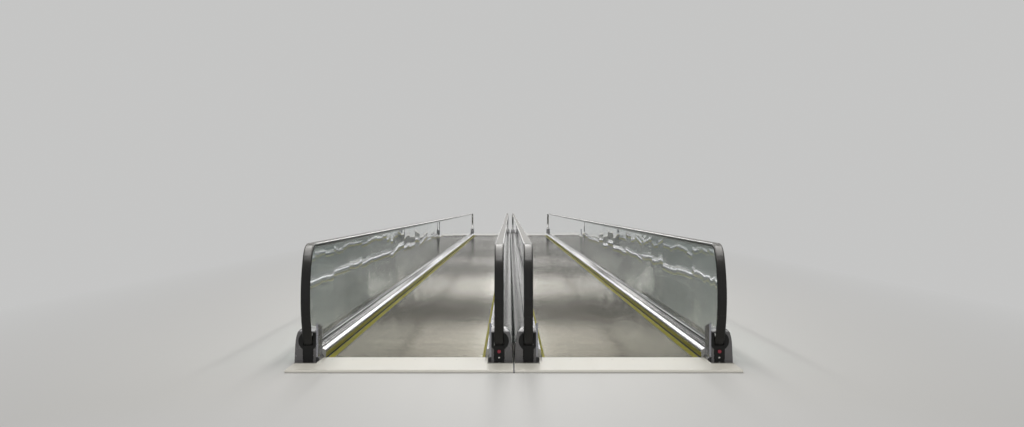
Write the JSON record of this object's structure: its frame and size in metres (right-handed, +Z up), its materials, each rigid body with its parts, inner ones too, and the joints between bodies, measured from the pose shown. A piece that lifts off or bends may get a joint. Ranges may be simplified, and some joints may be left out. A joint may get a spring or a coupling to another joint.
{
  "type": "twin moving walkway",
  "caption": "Two level pallet moving walks side by side, with frameless glass balustrades, black handrails, rounded newels with keyhole inlets, combs and landing plates.",
  "frame": {"origin": "middle of the twin at floor level, on the underside of the base tray", "axes": "+Y along the travel from the near end to the far end, +X to the right, +Z up"},
  "size_m": [3.762, 37.4, 1.031],
  "materials": {
    "base_steel": "matt grey painted steel",
    "pallet_aluminium": "die-cast, fine lengthwise cleats, satin",
    "comb_aluminium": "die-cast, satin",
    "landing_plate": "satin, finely ribbed",
    "skirt_steel": "satin stainless",
    "inner_deck_aluminium": "extruded, satin anodised",
    "outer_deck_steel": "satin stainless",
    "balustrade_glass": "clear toughened glass",
    "guide_steel": "satin",
    "handrail_rubber": "black, semi-gloss",
    "boot_metal": "satin metallic grey",
    "inlet_plastic": "black, matt",
    "base_plate_steel": "polished steel",
    "button_red": "red, glossy"
  },
  "bodies": {
    "root": {"base_tray": "base_steel", "pallets_left": "pallet_aluminium", "pallets_right": "pallet_aluminium", "comb_near_left": "comb_aluminium", "comb_near_right": "comb_aluminium", "comb_far_left": "comb_aluminium", "comb_far_right": "comb_aluminium", "landing_near_left": "landing_plate", "landing_near_right": "landing_plate", "landing_far_left": "landing_plate", "landing_far_right": "landing_plate", "skirt_outer_left": "skirt_steel", "skirt_inner_left": "skirt_steel", "skirt_inner_right": "skirt_steel", "skirt_outer_right": "skirt_steel", "inner_deck_outer_left": "inner_deck_aluminium", "inner_deck_inner_left": "inner_deck_aluminium", "inner_deck_inner_right": "inner_deck_aluminium", "inner_deck_outer_right": "inner_deck_aluminium", "outer_deck_outer_left": "outer_deck_steel", "outer_deck_inner_left": "outer_deck_steel", "outer_deck_inner_right": "outer_deck_steel", "outer_deck_outer_right": "outer_deck_steel", "glass_outer_left": "balustrade_glass", "glass_inner_left": "balustrade_glass", "glass_inner_right": "balustrade_glass", "glass_outer_right": "balustrade_glass", "rail_guide_outer_left": "guide_steel", "rail_guide_inner_left": "guide_steel", "rail_guide_inner_right": "guide_steel", "rail_guide_outer_right": "guide_steel", "handrail_outer_left": "handrail_rubber", "handrail_inner_left": "handrail_rubber", "handrail_inner_right": "handrail_rubber", "handrail_outer_right": "handrail_rubber", "boot_near_outer_left": "boot_metal", "boot_near_inner_left": "boot_metal", "boot_near_inner_right": "boot_metal", "boot_near_outer_right": "boot_metal", "boot_far_outer_left": "boot_metal", "boot_far_inner_left": "boot_metal", "boot_far_inner_right": "boot_metal", "boot_far_outer_right": "boot_metal", "inlets_near": "inlet_plastic", "inlets_far": "inlet_plastic", "plinths_near": "base_plate_steel", "plinths_far": "base_plate_steel"},
    "button_near_left": {"stop_button_near_left": "button_red"},
    "button_near_right": {"stop_button_near_right": "button_red"},
    "button_far_left": {"stop_button_far_left": "button_red"},
    "button_far_right": {"stop_button_far_right": "button_red"}
  },
  "joints": [
    {"name": "press_near_left", "type": "slide", "parent": "root", "child": "button_near_left", "axis": [0, 1, 0], "range_m": [0, 0.004], "stiffness_N_per_m": 800, "springref_m": -0.003},
    {"name": "press_near_right", "type": "slide", "parent": "root", "child": "button_near_right", "axis": [0, 1, 0], "range_m": [0, 0.004], "stiffness_N_per_m": 800, "springref_m": -0.003},
    {"name": "press_far_left", "type": "slide", "parent": "root", "child": "button_far_left", "axis": [0, -1, 0], "range_m": [0, 0.004], "stiffness_N_per_m": 800, "springref_m": -0.003},
    {"name": "press_far_right", "type": "slide", "parent": "root", "child": "button_far_right", "axis": [0, -1, 0], "range_m": [0, 0.004], "stiffness_N_per_m": 800, "springref_m": -0.003}
  ]
}
